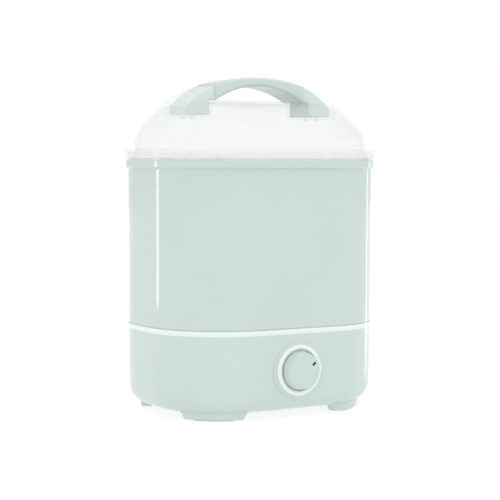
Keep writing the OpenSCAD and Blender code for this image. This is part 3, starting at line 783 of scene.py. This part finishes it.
for i in range(-3, 4):
    boolean(lid, rounded_box("vent", (i * 12 - 1.5, BODY_Y + 26, DOME_Z + 40),
                             (i * 12 + 1.5, BODY_Y + 48, LID_TOP + 20), 1.4, 4))
finish_mesh(lid, CLEAR, sharp=32)
place(lid, "lid", "lid")


# ---------------------------------------------------------------- handle
def grip_outline():
    """Arch on top, and the underside of the grip."""
    crown, rest = ARCH_RISE - 9.6, DOME_RISE + 0.25
    end = SLEEVE_IN + 12.0
    n = 60
    outer = [(end - 2 * end * k / n, arch(end - 2 * end * k / n)) for k in range(n + 1)]
    inner = []
    for k in range(n + 1):
        x = -end + 2 * end * k / n
        inner.append((x, DOME_Z + max(rest, crown - (crown - rest) * (x / GRIP_HALF) ** 2)))
    return outer + inner


handle = rounded_slab("handle_arch", grip_outline(), BODY_Y - HANDLE_HALF, BODY_Y + HANDLE_HALF, 3.2,
                      MINT_HANDLE)
for side in (-1, 1):
    x0, x1 = sorted((side * (SLEEVE_IN - 0.15), side * (SLEEVE_IN + 30.0)))
    boolean(handle, rounded_box("trim", (x0, BODY_Y - 40, LID_TOP - 20), (x1, BODY_Y + 40, LID_TOP + 60),
                                0.05, 1))
    boolean(handle, arch_block("insert", side, SLEEVE_IN - 1.2, INSERT_OUT, LID_TOP + 0.4, INSERT_STEP,
                               INSERT_STEP, 1.4, MINT_HANDLE, foot=(INSERT_IN, POCKET_FLOOR + 0.2)), "UNION")
finish_mesh(handle, MINT_HANDLE)
place(handle, "lid", "handle")

# ---------------------------------------------------------------- knob, bezel and pointer
centre = (0.0, FRONT, KNOB_Z)
bezel_profile = rounded([(5.3, 0.0), (BEZEL_R, 0.0), (BEZEL_R, 2.7), (27.6, 4.0), (25.4, 4.4), (23.6, 3.8),
                         (22.9, 1.0), (5.3, 1.0)], [0, 0.02, 0.5, 1.3, 1.6, 0.7, 0.3, 0.1], 8)
bezel = lathed("bezel_ring", bezel_profile, centre, "-Y", 128, material=BEZEL_PALE)
for s in (-1, 1):
    drill(bezel, s * 15, FRONT - 3, FRONT + 2, KNOB_Z, 1.8, 24)
finish_mesh(bezel, BEZEL_PALE)
place(bezel, "base", "knob_bezel")

reach = FRONT - knob_lo.y
knob_base = (knob_hi.x - knob_lo.x) / 2
dial = reach - 0.45         # the knob's face, a little below its rim
knob_profile = rounded([(6.5, 3.2), (6.5, 10.6), (18.2, 10.6), (18.6, 3.2), (knob_base, 3.2),
                        (knob_base, 5.0), (20.0, reach), (18.6, reach), (17.8, dial), (0.0, dial)],
                       [0.2, 0.2, 0.4, 0.3, 0.4, 0.8, 0.9, 0.5, 0.4, 0], 7, closed=False)
knob_profile += [(0.0, 10.7), (3.02, 10.7), (3.02, 3.3), (6.2, 3.2)]
knob = lathed("knob_cap", knob_profile, centre, "-Y", 128, material=KNOB_PALE)
place(knob, "timer_knob", "knob")

POINTER_AT, POINTER_ANGLE, POINTER_TILT = 14.9, math.radians(30.0), math.radians(14.0)
pointer = rounded_box("pointer_mark", (-2.4, -0.12, -1.3), (2.4, 0.5, 1.3), 0.1, 3, DARK)
tilt = Matrix.Translation((POINTER_AT * MM, 0, 0)) @ Matrix.Rotation(-POINTER_TILT, 4, "Y")
on_face = Matrix.Translation((0, (FRONT - dial) * MM, KNOB_Z * MM))
pointer.data.transform(on_face @ Matrix.Rotation(-POINTER_ANGLE, 4, "Y") @ tilt)
finish_mesh(pointer, DARK)
place(pointer, "timer_knob", "knob_pointer")

# ---------------------------------------------------------------- other nodes, finished from the CAD
# node, material, body and width of its edge rounding
FINE = [
    ("bottom_cover", MINT, "base", 0.4), ("foot_pads", FOOT_RUBBER, "base", 0.5),
    ("bottom_screws", ZINC, "base", 0.2), ("heating_plate", STAINLESS, "base", 0.3),
    ("plate_seal", SILICONE, "base", 0.2), ("plate_nuts", ZINC, "base", 0.2),
    ("heating_element", ALUMINIUM, "base", 0.4), ("element_terminals", BRASS, "base", 0.1),
    ("heat_shield", ZINC, "base", 0.2), ("thermostat", DARK, "base", 0.2),
    ("sensor_clip", ZINC, "base", 0.2), ("thermal_fuse", WHITE, "base", 0.1),
    ("fan_housing", WHITE, "base", 0.5), ("fan_motor", ZINC, "base", 0.5),
    ("fan_screws", ZINC, "base", 0.15), ("air_duct", WHITE, "base", 0.5),
    ("air_heater", ALUMINIUM, "base", 0.1), ("air_outlet_cap", PALE, "base", 0.5),
    ("timer_unit", WHITE, "base", 0.8), ("timer_screws", ZINC, "base", 0.2),
    ("cord_gland", DARK, "base", 0.5), ("filter_cover", MINT, "filter", 0.45),
    ("filter_pad", FELT, "filter", 0.4), ("timer_shaft", BRASS, "timer_knob", 0.3),
    ("fan_impeller", DARK, "fan", 0.2), ("motor_shaft", ZINC, "fan", 0.2),
    ("chamber_seal", SILICONE, "chamber", 0.3), ("bottle_rack", WHITE, "rack", 0.5),
    ("rack_posts", WHITE, "rack", 0.6), ("accessory_tray", WHITE, "tray", 0.5),
    ("lid_seal", CLEAR_SILICONE, "lid", 0.4), ("handle_screws", CLEAR, "lid", 0.2),
]
for node, material, body, width in FINE:
    refined(node, material, body, width)

# ---------------------------------------------------------------- floor, light and camera
scene = bpy.context.scene
floor_mesh = bpy.data.meshes.new("floor")
FLOOR_HALF = 8.0
floor_mesh.from_pydata([(x * FLOOR_HALF, y * FLOOR_HALF, 0) for x, y in ((-1, -1), (1, -1), (1, 1), (-1, 1))],
                       [], [(0, 1, 2, 3)])
floor = bpy.data.objects.new("floor", floor_mesh)
scene.collection.objects.link(floor)
floor_mat, fn, fl, fb, _ = material_base("floor_white")
fb.inputs["Base Color"].default_value = (0.3, 0.3, 0.3, 1)
fb.inputs["Emission Color"].default_value = (1, 1, 1, 1)
fb.inputs["Roughness"].default_value = 0.9
bounce = fn.new("ShaderNodeLightPath")
dim = fn.new("ShaderNodeMapRange")
dim.inputs["To Min"].default_value = 0.76       # glow of the floor
dim.inputs["To Max"].default_value = 0.6        # the part of it that lights the object
fl.new(bounce.outputs["Is Diffuse Ray"], dim.inputs["Value"])
fl.new(dim.outputs["Result"], fb.inputs["Emission Strength"])
fb.inputs["Specular IOR Level"].default_value = 0.1
floor.data.materials.append(floor_mat)

world = bpy.data.worlds.new("studio")
scene.world = world
world.use_nodes = True
wn, wl = world.node_tree.nodes, world.node_tree.links
path = wn.new("ShaderNodeLightPath")
level = wn.new("ShaderNodeMapRange")
level.inputs["To Min"].default_value = 1.0
level.inputs["To Max"].default_value = 0.8
wl.new(path.outputs["Is Glossy Ray"], level.inputs["Value"])
wl.new(level.outputs["Result"], wn["Background"].inputs["Strength"])
wn["Background"].inputs["Color"].default_value = (1, 1, 1, 1)


def softbox(name, place_at, target, size_x, size_y, power):
    light = bpy.data.lights.new(name, "AREA")
    light.shape = "RECTANGLE"
    light.size, light.size_y = size_x, size_y
    light.energy = power
    obj = bpy.data.objects.new(name, light)
    scene.collection.objects.link(obj)
    obj.location = place_at
    obj.rotation_euler = (Vector(target) - Vector(place_at)).to_track_quat("-Z", "Y").to_euler()
    return obj


def strip(name, azimuth, distance, width, height, radiance, base=0.0):
    """Upright strip light, turned to the object, that only shows in reflections."""
    a = math.radians(azimuth)
    at = (math.sin(a) * distance, -math.cos(a) * distance, base + height / 2)
    obj = softbox(name, at, (0, 0, base + height / 2), width, height, radiance * math.pi * width * height)
    obj.visible_diffuse = False
    obj.visible_camera = False
    return obj


strip("strip_left", -120.9, 0.6, 0.036, 0.23, 6.5, 0.08)
strip("strip_right", 100.5, 0.6, 0.05, 0.31, 1.6)
strip("strip_low", 91.5, 0.336, 0.024, 0.09, 1.4)
softbox("top", (0.0, -0.4, 2.2), (0, 0, 0.0), 1.6, 1.6, 3)

# camera: azimuth from the front, elevation above the horizon
FOCAL_PX = 1500.0
AZ, EL, DIST = math.radians(-30.6), math.radians(3.13), 1.758
TARGET_Z, SIDE, ROLL = 0.1836, -0.0003, math.radians(-0.15)
back = Vector((math.sin(AZ) * math.cos(EL), -math.cos(AZ) * math.cos(EL), math.sin(EL)))
right = Vector((math.cos(AZ), math.sin(AZ), 0))
up = back.cross(right)
cam_data = bpy.data.cameras.new("camera")
cam_data.sensor_width = 36.0
cam_data.lens = FOCAL_PX / 500.0 * 36.0
cam = bpy.data.objects.new("camera", cam_data)
scene.collection.objects.link(cam)
rot = Matrix((right, up, back)).transposed().to_4x4()
cam.matrix_world = (Matrix.Translation(Vector((0, BODY_Y * MM, TARGET_Z)) + back * DIST + right * SIDE)
                    @ rot @ Matrix.Rotation(-ROLL, 4, "Z"))
scene.camera = cam
scene.view_settings.view_transform = "Standard"
scene.cycles.transparent_max_bounces = 32
